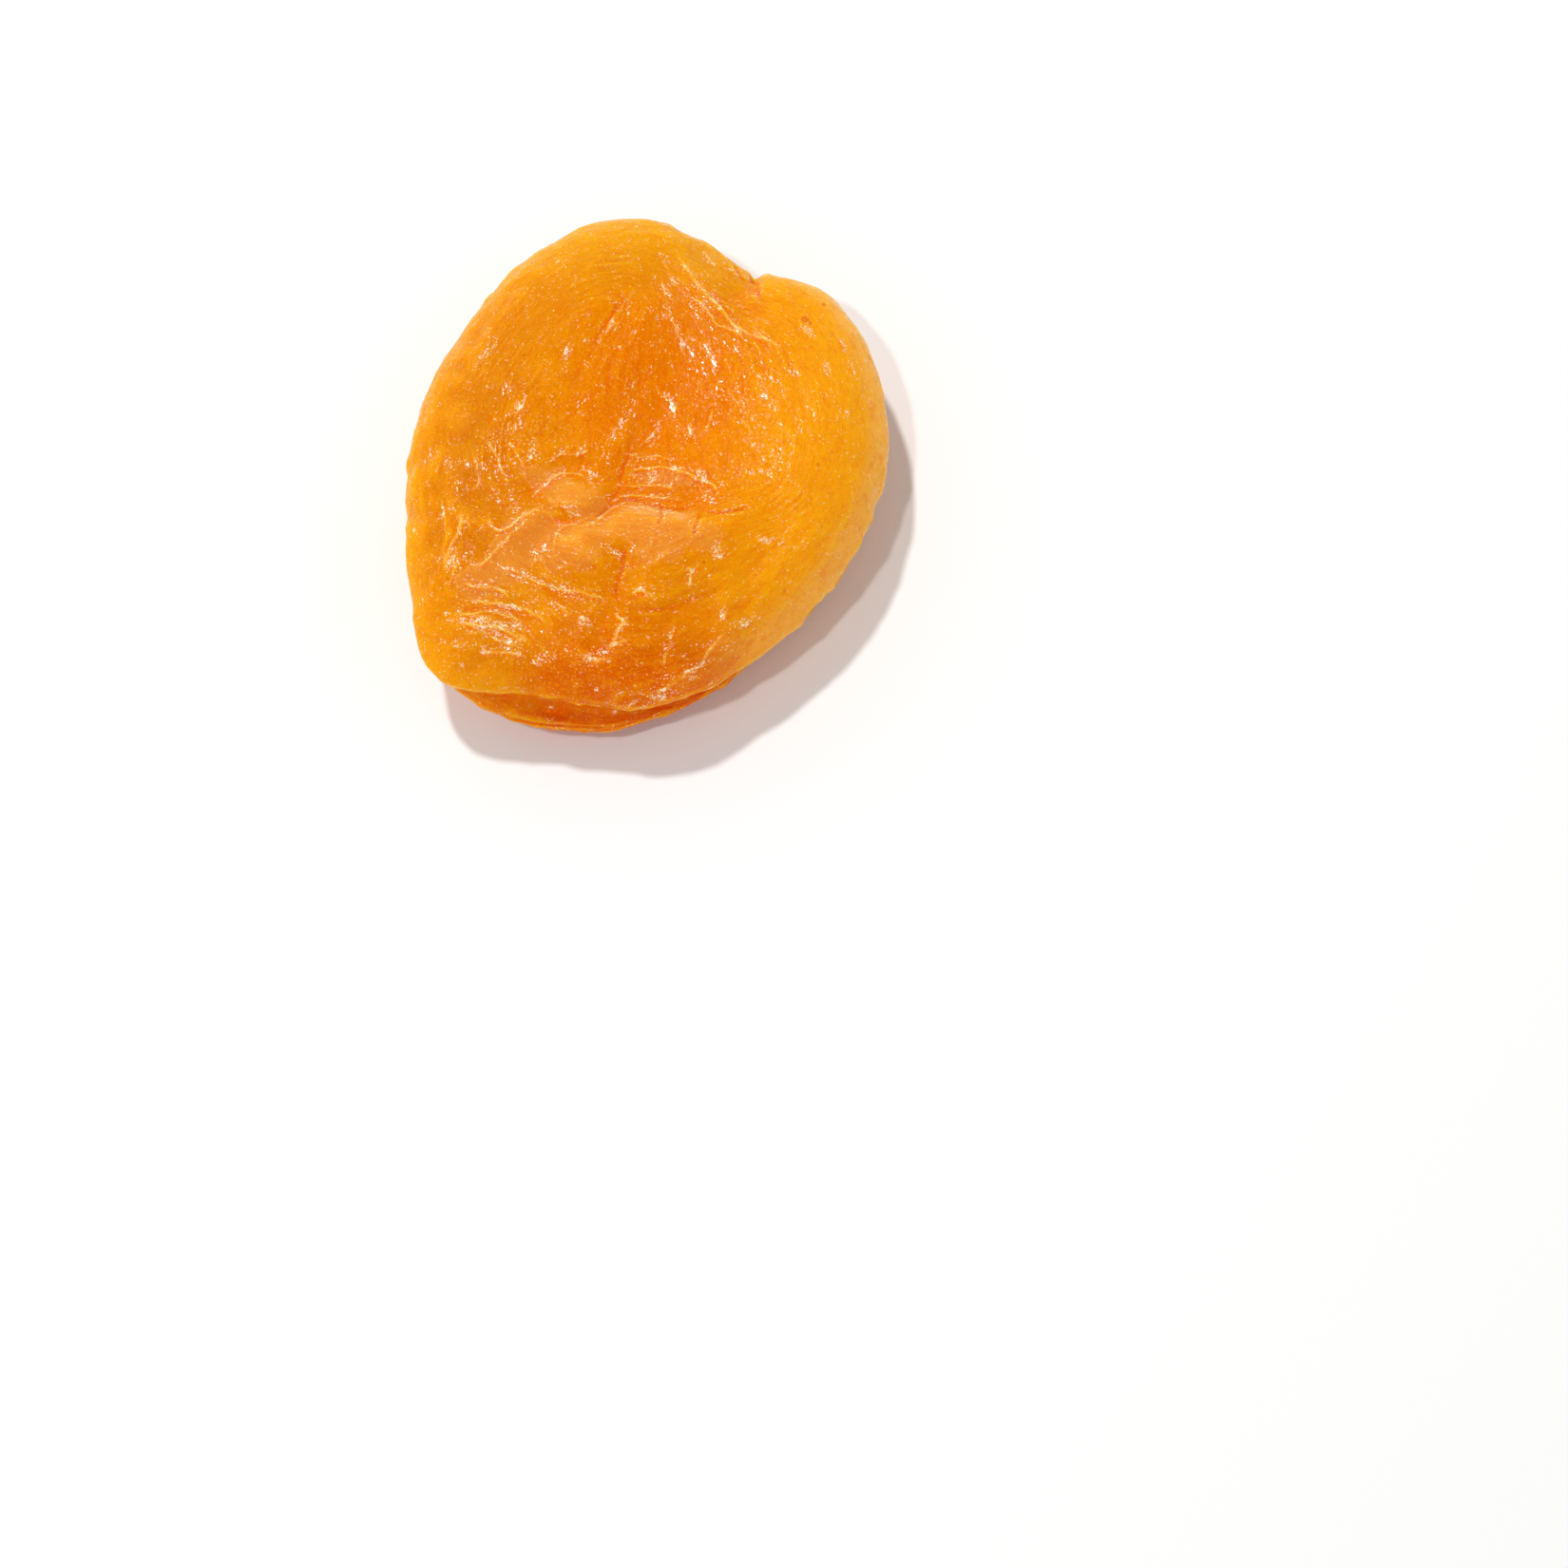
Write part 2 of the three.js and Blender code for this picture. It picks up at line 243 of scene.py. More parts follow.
# Each fold: its height, or depth where that is below 0, its half width, and the points that it
# runs through, all in millimetres from the middle of the fruit.
FOLDS = [
    # the long pinched fold from the far end and the finer one beside it
    (0.34, 0.24, [
        (2.2, 17.0), (2.9, 15.5), (3.7, 14.2), (4.8, 12.6), (5.7, 11.5), (7.0, 9.7), (8.1, 9.0),
        (9.5, 8.2), (11.4, 7.1),
    ]),
    (-0.18, 0.3, [(4.6, 13.6), (5.5, 12.4), (6.4, 11.3), (7.6, 10.2)]),
    (0.2, 0.2, [
        (3.1, 12.9), (4.1, 12.1), (4.8, 11.3), (5.5, 10.1), (6.3, 9.7), (7.2, 9.1), (8.1, 8.5),
    ]),
    (0.16, 0.2, [(8.0, 10.0), (8.7, 9.2), (9.2, 8.5), (10.0, 8.0)]),
    (0.16, 0.2, [(4.3, 17.8), (4.8, 16.8), (5.3, 15.8)]),
    (0.16, 0.25, [(5.6, 18.2), (6.4, 16.6), (7.0, 15.4)]),
    # the nick in the rim and the folds that meet in it
    (-0.3, 0.35, [(9.0, 17.0), (8.4, 15.6), (8.7, 13.6), (9.3, 12.0)]),
    (-0.18, 0.3, [(6.7, 17.2), (7.3, 15.5), (8.2, 14.0), (8.9, 12.7)]),
    # faint folds down to the sunken middle
    (0.14, 0.2, [(1.2, 14.7), (1.4, 12.9), (1.8, 11.2), (2.3, 10.0), (2.8, 8.5), (3.1, 6.9)]),
    (0.1, 0.2, [(0.9, 17.2), (1.3, 16.0), (1.9, 14.6), (2.3, 13.4)]),
    (-0.1, 0.35, [(-1.7, 12.6), (-2.3, 11.6), (-3.4, 9.8), (-4.3, 7.6), (-5.6, 4.7)]),
    (0.09, 0.2, [(-1.5, 12.6), (-2.1, 11.4), (-3.3, 9.4)]),
    # short folds in the sunken middle
    (0.16, 0.22, [(0.6, 5.2), (1.1, 4.4), (1.6, 4.0), (2.2, 3.2), (2.6, 2.6)]),
    (0.18, 0.22, [(0.9, 2.4), (0.8, 1.6), (0.5, 0.8), (-0.1, 0.2), (-0.8, -0.7)]),
    (0.14, 0.2, [(5.1, 3.0), (5.0, 2.1), (4.8, 1.5), (4.4, 0.7)]),
    (0.14, 0.22, [(7.3, 1.9), (7.9, 1.0), (8.4, 0.1)]),
    (0.16, 0.22, [(0.5, -0.8), (1.2, -1.4), (2.3, -1.7)]),
    (-0.14, 0.3, [(-1.9, 6.2), (-1.4, 4.8), (-1.2, 3.4), (-1.9, 1.6), (-2.4, 0.4)]),
    # folds stacked against the lobe
    (0.16, 0.22, [(-1.9, -1.1), (-0.6, -1.3), (1.4, -1.3)]),
    (0.26, 0.24, [(-1.4, -2.6), (-0.2, -2.4), (1.8, -2.4), (3.6, -3.2), (5.0, -3.9), (5.7, -4.9)]),
    (0.18, 0.2, [(-1.9, -3.9), (-0.4, -3.9), (0.9, -3.9), (2.5, -4.2)]),
    (0.24, 0.2, [(-2.2, -4.9), (-0.6, -4.8), (1.4, -5.0), (3.0, -5.2)]),
    (-0.16, 0.3, [(-0.9, 0.9), (-1.4, -1.0), (-1.9, -2.9), (-2.2, -4.4), (-2.9, -5.5), (-3.6, -6.7)]),
    # the lobe's edge, and the cuts in it
    (-0.2, 0.22, [
        (-4.7, -7.5), (-3.8, -6.8), (-2.9, -5.9), (-2.2, -5.3), (-1.5, -5.1), (-0.4, -5.4),
        (1.1, -5.8), (2.8, -6.0), (4.5, -6.1),
    ]),
    (0.16, 0.2, [
        (-7.1, -10.3), (-7.0, -9.2), (-6.6, -8.0), (-5.8, -7.5), (-4.9, -7.8), (-3.8, -7.3),
        (-2.9, -6.4), (-2.2, -5.8), (-0.4, -6.0), (1.1, -6.4), (2.8, -6.6), (4.5, -6.7),
    ]),
    (-0.28, 0.2, [(1.1, -5.5), (1.2, -6.6), (1.0, -7.8)]),
    (-0.24, 0.22, [(4.2, -6.3), (3.9, -7.6), (3.6, -8.6)]),
    (-0.16, 0.24, [(4.5, -6.4), (6.2, -6.3), (8.0, -6.0)]),
    # the knob at the lobe's left end
    (0.2, 0.22, [
        (-8.8, -5.3), (-8.0, -4.2), (-7.3, -3.6), (-6.4, -3.1), (-5.2, -3.2), (-4.2, -3.9),
        (-3.4, -4.8),
    ]),
    (0.14, 0.22, [(-7.9, -2.6), (-6.6, -1.6), (-5.2, -1.5), (-4.4, -1.0)]),
    (-0.12, 0.24, [(-7.3, -4.7), (-6.6, -6.0), (-6.0, -6.8), (-5.2, -7.3)]),
    # the arch, and the ridge that runs on from it
    (0.2, 0.22, [
        (-12.1, -6.4), (-11.9, -7.5), (-11.3, -7.9), (-10.6, -7.8), (-9.8, -7.2), (-8.7, -6.5),
        (-7.4, -5.4),
    ]),
    (0.2, 0.22, [(-13.1, -10.9), (-12.2, -10.3), (-11.5, -9.6), (-10.7, -8.8), (-10.1, -8.0)]),
    # wrinkles along the left rim
    (0.22, 0.24, [(-14.3, -6.2), (-14.1, -7.3), (-14.6, -8.3), (-15.1, -9.3), (-15.3, -10.2)]),
    (0.18, 0.24, [(-14.4, -10.3), (-14.8, -11.2), (-15.1, -12.1)]),
    (0.16, 0.24, [(-13.2, -1.3), (-12.9, -3.0), (-13.0, -4.4)]),
    (0.16, 0.24, [(-12.3, 0.0), (-11.6, -1.4), (-11.0, -2.8), (-10.5, -4.0)]),
    (0.14, 0.24, [(-10.6, -0.4), (-9.9, -1.6), (-9.3, -2.7)]),
    # the furrow in front of the lobe, the forked fold at its end and the cells beside it
    (-0.3, 0.26, [
        (-1.6, -9.4), (-1.7, -10.2), (-1.8, -11.1), (-2.2, -12.0), (-2.3, -12.8), (-2.1, -13.8),
    ]),
    (0.24, 0.22, [
        (-2.5, -14.5), (-2.0, -14.9), (-1.7, -15.3), (-2.2, -16.0), (-2.5, -16.6), (-3.1, -17.2),
    ]),
    (0.18, 0.22, [(-3.1, -17.2), (-2.2, -16.9), (-1.1, -16.4)]),
    (0.2, 0.24, [(-4.2, -18.1), (-3.4, -17.9), (-2.5, -17.8)]),
    (0.18, 0.22, [(-1.2, -13.1), (-0.6, -12.9), (0.1, -13.0), (0.7, -13.5)]),
    (0.12, 0.2, [(0.7, -10.6), (1.5, -10.1), (1.9, -9.5)]),
    (0.14, 0.2, [(3.3, -10.9), (3.4, -11.8), (3.3, -12.7)]),
    (-0.14, 0.22, [(-2.7, -9.4), (-2.0, -9.7), (-1.2, -10.0)]),
    (-0.16, 0.28, [(-1.8, -14.2), (0.7, -14.2), (2.3, -13.7), (4.0, -13.1), (5.6, -12.8)]),
    # pleats that run out to the front rim
    (0.16, 0.24, [(1.2, -18.3), (1.4, -17.5), (1.8, -16.3), (2.0, -15.4)]),
    (0.22, 0.24, [(2.3, -19.2), (3.2, -18.4), (4.1, -17.8), (4.6, -17.1), (5.2, -16.5), (6.2, -15.4)]),
    (0.18, 0.22, [(5.8, -14.9), (6.0, -14.2), (6.4, -13.8)]),
    (0.16, 0.24, [(7.1, -14.9), (7.9, -14.5), (8.4, -13.8)]),
    (0.16, 0.24, [(0.6, -20.0), (1.6, -19.6), (2.3, -19.2)]),
    # the bundle of long wrinkles at the front left
    (0.24, 0.24, [(-14.0, -11.8), (-13.1, -12.2), (-12.0, -12.3), (-11.0, -12.6), (-10.2, -13.2)]),
    (0.28, 0.24, [
        (-13.8, -13.2), (-12.8, -13.3), (-11.6, -13.5), (-10.2, -13.7), (-9.0, -14.1),
        (-8.1, -14.7), (-7.5, -15.4),
    ]),
    (0.22, 0.22, [
        (-14.7, -14.3), (-13.4, -14.3), (-12.2, -14.1), (-11.2, -14.3), (-10.0, -14.7),
        (-8.9, -15.3),
    ]),
    (0.24, 0.22, [
        (-14.5, -14.9), (-13.3, -15.1), (-12.2, -15.3), (-11.1, -15.4), (-10.0, -15.9),
        (-9.2, -16.6),
    ]),
    (0.22, 0.24, [(-14.2, -15.8), (-12.8, -15.7), (-11.6, -16.1), (-10.5, -16.5), (-9.4, -16.9)]),
    (0.2, 0.22, [
        (-9.8, -11.5), (-8.6, -11.9), (-7.2, -12.5), (-6.0, -12.7), (-4.9, -12.9), (-3.8, -13.2),
        (-2.8, -13.4),
    ]),
    (0.18, 0.22, [(-7.5, -13.5), (-6.6, -13.9), (-5.7, -14.8)]),
    (0.18, 0.24, [(-12.7, -17.0), (-11.5, -17.1), (-10.2, -17.1), (-9.3, -17.4)]),
    # a fold along the right rim
    (0.12, 0.24, [(14.7, 9.5), (15.5, 8.1), (16.0, 6.6), (16.3, 5.2)]),
]
FOLD_WIDTH = 0.62  # how wide the folds have dried, as a share of the widths above
FOLD_FOOT = 0.25  # how deep the skin dips on both sides of a fold, as a share of its height
FOLD_ENDS = 0.18  # over how much of its length a fold fades at each end
FOLD_REACH = 1.2  # millimetres round a fold in which it counts
FOLD_SWAY = 0.12  # millimetres that a fold strays from its line
FULL_HEIGHT = 0.2  # the height from which a fold shows its colours in full
LINE_REACH = 0.45  # millimetres on both sides of a fold that take its lines of colour
# the strip along a fold carries painted glints in the colour as well as the glinting syrup film
BANK = 0.34  # half the width of the strip along a fold that catches dried syrup
BANK_SHIFT = 0.08  # how far that strip lies to the left of the fold's line
CREASES_CLOSED = 0.5  # how much of the deepest creases the flesh has filled again
CREASE_ROUNDS = 60  # rounds in which the skin is evened, to find those creases

spots, normals = places()
edges = np.empty(len(fruit.data.edges) * 2, int)
fruit.data.edges.foreach_get("vertices", edges)
first, second = edges.reshape(-1, 2).T
joined = np.bincount(first, minlength=len(spots)) + np.bincount(second, minlength=len(spots))


def evened(values, rounds):
    """The values with each taken towards its neighbours' mean, again and again."""
    for _ in range(rounds):
        total = np.bincount(first, values[second], len(values))
        total += np.bincount(second, values[first], len(values))
        values = 0.3 * values + 0.7 * total / joined
    return values


def standing_out(rounds):
    """How far each point stands out from the evened skin, in millimetres."""
    even = np.column_stack([evened(column, rounds) for column in spots.T])
    return ((spots - even) * normals).sum(1)


x, y, z = spots.T
on_top = ease(normals[:, 2], 0.05, 0.45) * ease(z, 5.0, 6.5)

# The flesh has closed over the deepest creases again.
relief = -CREASES_CLOSED * np.minimum(standing_out(CREASE_ROUNDS), 0) * on_top
off_ridge, ridge = np.ones(len(x)), np.zeros(len(x))
off_cut, cut = np.ones(len(x)), np.zeros(len(x))
glint_spots = np.zeros(len(x))
for height, width, points in FOLDS:
    width *= FOLD_WIDTH
    near, off, along = nearest(smooth_line(points), x, y, FOLD_REACH)
    off = off + FOLD_SWAY * perlin(x[near] / 0.9, y[near] / 0.9, 0 * x[near] + 5)
    broken = 0.55 + 0.9 * perlin(x[near] / 1.3, y[near] / 1.3, 0 * x[near] + 11)
    ends = ease(along, 0, FOLD_ENDS) * ease(1 - along, 0, FOLD_ENDS) * np.clip(broken, 0.4, 1.2)
    top = np.exp(-((off / width) ** 2))
    foot = np.exp(-(((np.abs(off) - 2 * width) / width) ** 2))
    relief[near] += height * (top - FOLD_FOOT * foot) * ends
    presence = np.exp(-((off / LINE_REACH) ** 2)) * ends
    presence *= min(1, abs(height) / FULL_HEIGHT)
    distance, shown = (off_ridge, ridge) if height > 0 else (off_cut, cut)
    ahead = presence > shown[near]
    shown[near[ahead]] = presence[ahead]
    distance[near[ahead]] = off[ahead]
    bank = np.exp(-(((off + BANK_SHIFT) / BANK) ** 2)) * ends * (1.0 if height > 0 else 0.5)
    glint_spots[near] = np.maximum(glint_spots[near], bank)

# The wrinkles run along the contour lines of "across": round the rim on the outer part, from the
# far end down to the middle inside it, and from left to right in the bundle at the front left.
FAR_END = (1.6, 21.5)
BUNDLE = (-11.0, -14.5)
SECTORS = 180  # directions in which the rim's distance from the middle is taken
sector = ((np.arctan2(y, x) + math.pi) / (2 * math.pi) * SECTORS).astype(int) % SECTORS
rim = np.array([np.hypot(x, y)[sector == i].max() for i in range(SECTORS)])
rim = (np.roll(rim, 1) + rim + np.roll(rim, -1)) / 3


def rim_share(x, y):
    """How far out a place is, from 0 in the middle to 1 at the rim."""
    middles = (np.arange(SECTORS) + 0.5) / (SECTORS / 2) * math.pi - math.pi
    return np.hypot(x, y) / np.interp(np.arctan2(y, x), middles, rim, period=2 * math.pi)


def dome(x, y, middle, reach_x, reach_y):
    """1 at a middle in plan, falling off softly over its reach to the sides."""
    return np.exp(-(((x - middle[0]) / reach_x) ** 2) - (((y - middle[1]) / reach_y) ** 2))


def flow(x, y):
    """The value whose contour lines the wrinkles follow."""
    out = rim_share(x, y)
    spoke = 14 * np.arctan2(x - FAR_END[0], FAR_END[1] - y)
    inside = (1 - ease(out, 0.55, 0.85)) * ease(y, -9, -3)
    apart = dome(x, y, BUNDLE, 5, 4) * on_top
    return (19 * out * (1 - inside) + spoke * inside) * (1 - apart) - (y + 0.25 * x) * apart


outward = rim_share(x, y)
across = flow(x, y)
slope = np.hypot(flow(x + 0.1, y) - across, flow(x, y + 0.1) - across) / 0.1
settled = ease(slope, 0.4, 0.8)
across += (7 - z) * (1 - ease(normals[:, 2], 0.2, 0.7))
slack = 1 - on_top

# the net of wrinkles, as noise that is drawn out along the flow: long ones, finer ones between
# them, and puckers, with more of all on the sides and below, where the skin is slack
sway = 0.8 * perlin(x / 5, y / 5, z / 5)
long_wrinkles = perlin(x / 4.2, y / 4.2, (across + sway) / 1.15)
fine_wrinkles = perlin(x / 2.2 + 9, y / 2.2, (across + sway) / 0.55)
puckers = perlin(x / 1.5, y / 1.5 + 5, z / 1.5)
patches = ease(perlin(x / 5 + 3, y / 5, z / 5 + 8), -0.25, 0.35)
crumpled = 0.35 + 0.65 * patches
pleats = perlin(x / 1.9 + 3, y / 1.9, z / 7)
settled = settled * crumpled * (1 + slack)
relief += settled * (0.2 * (0.35 - np.abs(long_wrinkles)) + 0.07 * fine_wrinkles)
relief += 0.06 * puckers * (0.4 + 0.6 * patches) * (1 + slack)
relief += slack * 0.3 * (0.3 - np.abs(pleats))

# Flat cells of drier, paler skin between the folds: middle, half length and width, and turn.
CELLS = [
    (-5.9, -4.9, 3.0, 1.5, -32),
    (-9.6, -8.9, 3.2, 2.0, 35),
    (-5.2, -9.4, 2.8, 1.9, 0),
    (0.9, -8.2, 4.6, 1.9, -5),
    (-0.2, -6.4, 1.7, 0.6, -8),
    (-12.6, -11.6, 1.6, 1.2, 30),
    (1.2, -3.3, 2.6, 0.5, -8),
]
# Two small patches on top of the lobe, painted as a pale highlight, given in the same way.
LOBE_HIGHLIGHT_PATCHES = [(-0.2, -6.3, 1.2, 0.42, -8), (2.3, -6.7, 0.9, 0.36, -10)]
# Places where syrup has dried thick, painted thick with glints, given in the same way.
GLINT_PATCHES = [
    (-12.8, -12.4, 1.9, 0.35, -14), (-8.4, -11.9, 2.8, 0.35, -22), (-4.7, -14.9, 0.9, 0.5, -60),
    (-10.5, -13.8, 2.9, 0.35, -15), (-12.1, -16.9, 2.7, 0.35, -14), (0.0, -20.5, 2.3, 0.3, 15),
    (-6.8, -14.0, 0.8, 0.4, -50), (-3.9, -17.6, 1.5, 0.4, 15), (-7.9, -17.7, 0.8, 0.4, 10),
    (1.7, -16.8, 0.4, 1.2, -15), (-12.0, -14.9, 3.2, 0.35, -9), (-11.9, -15.5, 2.3, 0.6, -18),
    (-9.0, -1.2, 0.7, 1.0, 30), (-10.1, -6.1, 0.7, 0.4, 35), (-5.8, -6.1, 0.9, 0.3, -40),
    (-14.9, -10.2, 0.4, 0.7, -30), (-3.4, -1.3, 0.4, 0.8, 25), (-15.5, -5.8, 0.8, 0.4, 0),
    (-15.1, -1.8, 0.6, 0.6, 0), (-4.4, -3.0, 0.9, 0.4, -35), (1.8, 3.6, 0.4, 1.4, 25),
    (3.5, 1.5, 0.4, 1.0, 15), (7.8, 2.0, 0.4, 0.9, 30), (-1.9, 1.9, 0.4, 1.8, -20),
    (11.2, 5.6, 0.8, 0.3, -25), (9.4, 5.1, 1.4, 0.3, -35), (14.0, 6.0, 0.3, 0.9, 15),
    (12.5, 9.4, 0.8, 0.3, -40), (15.4, 2.0, 0.4, 0.5, 0), (4.6, -3.2, 1.4, 0.4, -25),
    (8.7, -3.0, 0.8, 0.3, 0), (0.0, -3.1, 1.0, 0.5, 10), (5.4, -9.6, 0.4, 1.0, 10),
    (9.8, -8.6, 1.2, 0.3, -15), (-2.6, -9.8, 1.0, 0.4, -40), (7.6, -14.6, 0.9, 0.3, 30),
    (3.4, -18.6, 1.5, 0.3, 40), (-6.4, 6.8, 0.3, 1.6, -15), (-9.6, 3.4, 0.3, 1.6, -10),
    (-12.4, 8.0, 0.4, 1.3, -35), (0.8, 10.2, 0.3, 1.2, 10), (5.0, 7.4, 0.3, 1.0, 20),
]


def in_patch(middle_x, middle_y, half_length, half_width, angle):
    """How far out of such a patch each point lies, 1 at its edge."""
    cosine, sine = math.cos(math.radians(angle)), math.sin(math.radians(angle))
    u = ((x - middle_x) * cosine + (y - middle_y) * sine) / half_length
    v = ((y - middle_y) * cosine - (x - middle_x) * sine) / half_width
    return np.hypot(u, v)


ragged = 0.4 * puckers + 0.6 * perlin(x / 3.2, y / 3.2, z / 3.2 + 4)
paler = sum(1 - ease(in_patch(*cell) + ragged, 0.8, 1.2) for cell in CELLS)
lobe_highlight = sum(1 - ease(in_patch(*patch) + 0.5 * puckers, 0.75, 1.25) for patch in LOBE_HIGHLIGHT_PATCHES)
paler = np.clip(paler, 0, 1) * on_top
for patch in GLINT_PATCHES:
    glint_spots = np.maximum(glint_spots, 0.9 - 0.9 * ease(in_patch(*patch) + 0.5 * fine_wrinkles, 0.4, 1.5))

# the nick in the rim and the small bump beside it, in millimetres
NICK, NICK_DEPTH = (8.5, 15.6), 0.55
BUMP, BUMP_HEIGHT = (9.5, 15.4), 0.25
relief -= NICK_DEPTH * dome(x, y, NICK, 0.45, 1.2) * ease(z, 3, 5)
relief += BUMP_HEIGHT * dome(x, y, BUMP, 0.5, 0.9) * ease(z, 3, 5)

# Nothing moves where the fruit lies on the table.
free = ease(z, 0.1, 1.2)
folded = relief * (0.5 + 0.5 * ease(np.abs(normals[:, 2]), 0.0, 0.3)) * free
spots += normals * folded[:, None]
spots[:, 2] = np.maximum(spots[:, 2], 0)
move(spots)
fruit.data.shade_smooth()

# What the colour follows, as values at the points: how far a place stands out from the skin
# round it, finely and broadly, how near the rim it is, and where the folds, the creases, the
# painted glints and dried syrup, the lobe's painted highlight and the paler cells are.
FINELY, BROADLY = 8, 90  # rounds in which the skin is evened, to see what stands out from it
spots, normals = places()


def keep(name, values):
    """Stores one number a point for the material."""
    layer = fruit.data.attributes.new(name, "FLOAT", "POINT")
    layer.data.foreach_set("value", values.astype(np.float32))


keep("crest", standing_out(FINELY))
keep("swell", standing_out(BROADLY))
keep("outward", outward)
keep("across", across)
keep("ridge", ridge * on_top)
keep("off_ridge", off_ridge)
keep("cut", cut * on_top)
keep("off_cut", off_cut)
keep("glint_spots", glint_spots * on_top)
keep("paler", paler)
keep("lobe_highlight", lobe_highlight * on_top)


def pigment(code):
    """A colour's red, green and blue, linear, from its screen code."""
    parts = [int(code[i : i + 2], 16) / 255 for i in (0, 2, 4)]
    return [p / 12.92 if p <= 0.04045 else ((p + 0.055) / 1.055) ** 2.4 for p in parts] + [1]


def tinted(under, over, mask):
    """One colour laid over another by a mask."""
    sockets = {"Factor": mask, 6: under, 7: over}
    return mask.node("ShaderNodeMix", {"data_type": "RGBA"}, sockets, 2)


# The flesh: moist and translucent, bright orange, deeper in the sunken middle, with a waxy skin
# of fine grain that glints. Painted on it: light where it is thin or stands out, shade in the
# hollows and creases, and glints in pale specks.
FLESH = pigment("E48C00")
DEEP_FLESH = pigment("E47700")
PALE_AND_LIT_FLESH = pigment("EEA40C")
PAINTED_LIGHT_FLESH = pigment("F6A80E")
HOLLOW_PAINTED_SHADE = pigment("F47A00")
GOLDEN_FLESH = pigment("DEA008")
SHADE_AND_GRAIN_RED = pigment("D64C00")
DRY_FLESH = pigment("E69848")
LOBE_HIGHLIGHT_PALE = pigment("FABA70")
THIN_RIM_GLOW = pigment("F8B85C")
LEFT_PAINTED_SHADE = pigment("D07600")
FRECKLE = pigment("C43A10")
PALE_LINE_AND_HIGHLIGHT = pigment("FFBC60")
GRIT = pigment("F8B01C")
GLINT_AND_BLOOM = pigment("FFE4C0")

skin = bpy.data.materials.new("apricot_flesh")
skin.use_nodes = True
shader = skin.node_tree.nodes["Principled BSDF"]
place = Wire(skin.node_tree.nodes.new("ShaderNodeTexCoord").outputs["Object"])


def stored(name):
    """A value that the points carry."""
    return place.node("ShaderNodeAttribute", {"attribute_name": name}, {}, 2)


def grain(size, detail=2.0, at=place):
    """Even noise from 0 to 1 whose patches are about that many millimetres across."""
    return at.node("ShaderNodeTexNoise", {}, {"Vector": at, "Scale": 1 / (size * MM), "Detail": detail})


parts = place.node("ShaderNodeSeparateXYZ", {}, {"Vector": place})
px, py, pz = (Wire(parts.socket.node.outputs[i]) for i in range(3))
crest, swell, out = stored("crest"), stored("swell"), stored("outward")


def within(middle, half_width, half_length):
    """A mask for an ellipse in plan, given in millimetres: 1 inside it and 0 outside."""
    u = (px - middle[0] * MM) * (1 / (half_width * MM))
    v = (py - middle[1] * MM) * (1 / (half_length * MM))
    return (1 - (u * u + v * v)).between(-0.2, 0.9)


# where the colour changes over the fruit: in the sunken part of the upper face, at the right, the
# front and the left, in the bundle of wrinkles, and below; the lighter right and bundle and the
# darker left, front and underside are painted light and shade
SUNKEN = (1.5, 3.0)
sunken = within(SUNKEN, 9.5, 12) * pz.between(6 * MM, 8 * MM)
cloudy = grain(4.0, 3.0)
mottled = grain(0.9, 3.0)
right = (px - py * 0.2).between(3 * MM, 15 * MM)
front_x = (px + 1.0 * MM) * (1 / (9 * MM))
front = (0 - py).between(12 * MM, 20 * MM) * (1 - (front_x * front_x).between(0.3, 1.4))
left = (0 - px).between(3 * MM, 16 * MM)
bundle = within(BUNDLE, 6, 4.5)
under = 1 - (pz + (cloudy - 0.5) * (4 * MM)).between(1.5 * MM, 7.5 * MM)
colour = tinted(FLESH, DEEP_FLESH, sunken * 0.75)
# painted light: the right side made lighter and yellower
colour = tinted(colour, PAINTED_LIGHT_FLESH, right * 0.85)
# painted shade: the left side made darker
colour = tinted(colour, LEFT_PAINTED_SHADE, left * 0.75)
colour = tinted(colour, PALE_AND_LIT_FLESH, cloudy.between(0.5, 0.75) * 0.3)
# painted glow of light through the thin rim, and painted light where the skin swells
colour = tinted(colour, PALE_AND_LIT_FLESH, out.between(0.86, 1.0) * 0.5)
colour = tinted(colour, PALE_AND_LIT_FLESH, swell.between(0.02, 0.3) * 0.4)
colour = tinted(colour, THIN_RIM_GLOW, out.between(0.88, 0.98) * right * pz.between(3 * MM, 6 * MM) * 0.55)
colour = tinted(colour, DEEP_FLESH, mottled.between(0.5, 0.8) * 0.3)
# painted shade: darker and redder towards the front
colour = tinted(colour, SHADE_AND_GRAIN_RED, front * 0.68)
# painted light: the bundle of wrinkles made lighter
colour = tinted(colour, PAINTED_LIGHT_FLESH, bundle * 0.35)
# painted shade: darker and redder below, most towards the front
colour = tinted(colour, SHADE_AND_GRAIN_RED, under * (0.35 + (0 - py).between(10 * MM, 18 * MM) * 0.4))
# painted shade, a saturated orange, in the broad hollows and the fine creases
colour = tinted(colour, HOLLOW_PAINTED_SHADE, (0 - swell).between(0.0, 0.2) * 0.4)
colour = tinted(colour, HOLLOW_PAINTED_SHADE, (0 - crest).between(0.01, 0.1) * 0.5)
colour = tinted(colour, GOLDEN_FLESH, py.between(11 * MM, 20 * MM) * 0.5)
# painted light on the fine crests
colour = tinted(colour, PALE_AND_LIT_FLESH, crest.between(0.015, 0.09) * 0.5)
cells = stored("paler")
cell_edge = cells.between(0.25, 0.45) * (1 - cells.between(0.5, 0.75))
cell_edge = cell_edge * grain(1.4, 2.0).between(0.42, 0.58)
colour = tinted(colour, DRY_FLESH, cells * 0.4)
# a painted highlight: two pale patches on the lobe's top
colour = tinted(colour, LOBE_HIGHLIGHT_PALE, stored("lobe_highlight") * 0.45)
colour = tinted(colour, PALE_LINE_AND_HIGHLIGHT, cell_edge * 0.3)

